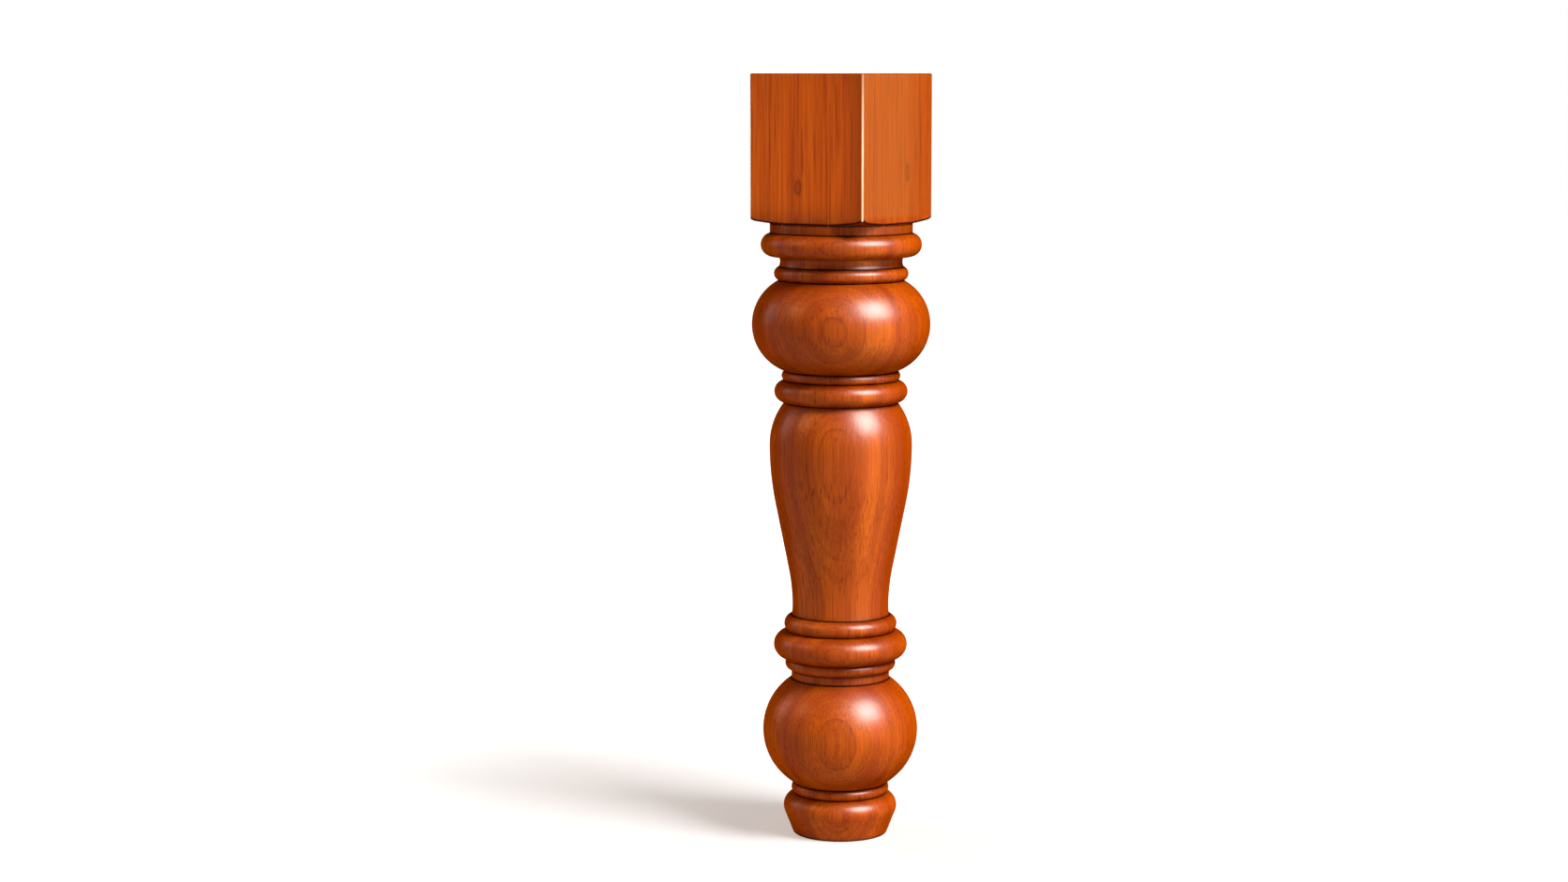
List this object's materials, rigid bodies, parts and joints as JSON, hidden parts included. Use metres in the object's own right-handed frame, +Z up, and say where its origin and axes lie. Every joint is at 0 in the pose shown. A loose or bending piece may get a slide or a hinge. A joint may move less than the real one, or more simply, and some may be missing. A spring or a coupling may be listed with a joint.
{
  "type": "turned table leg",
  "caption": "Turned wooden table leg: square top block mortised for its rails, ball turnings with beads, a tapered vase shaft and a round foot.",
  "frame": {"origin": "centre of the foot's base, on the floor", "axes": "+Z up along the turning axis; the block's outer faces look along -Y and +X, its mortised inner faces along -X and +Y"},
  "size_m": [0.1714, 0.1714, 0.737],
  "materials": {
    "stained_wood": "cinnamon red stain under gloss lacquer"
  },
  "bodies": {
    "root": {"turned_leg": "stained_wood"}
  },
  "joints": []
}
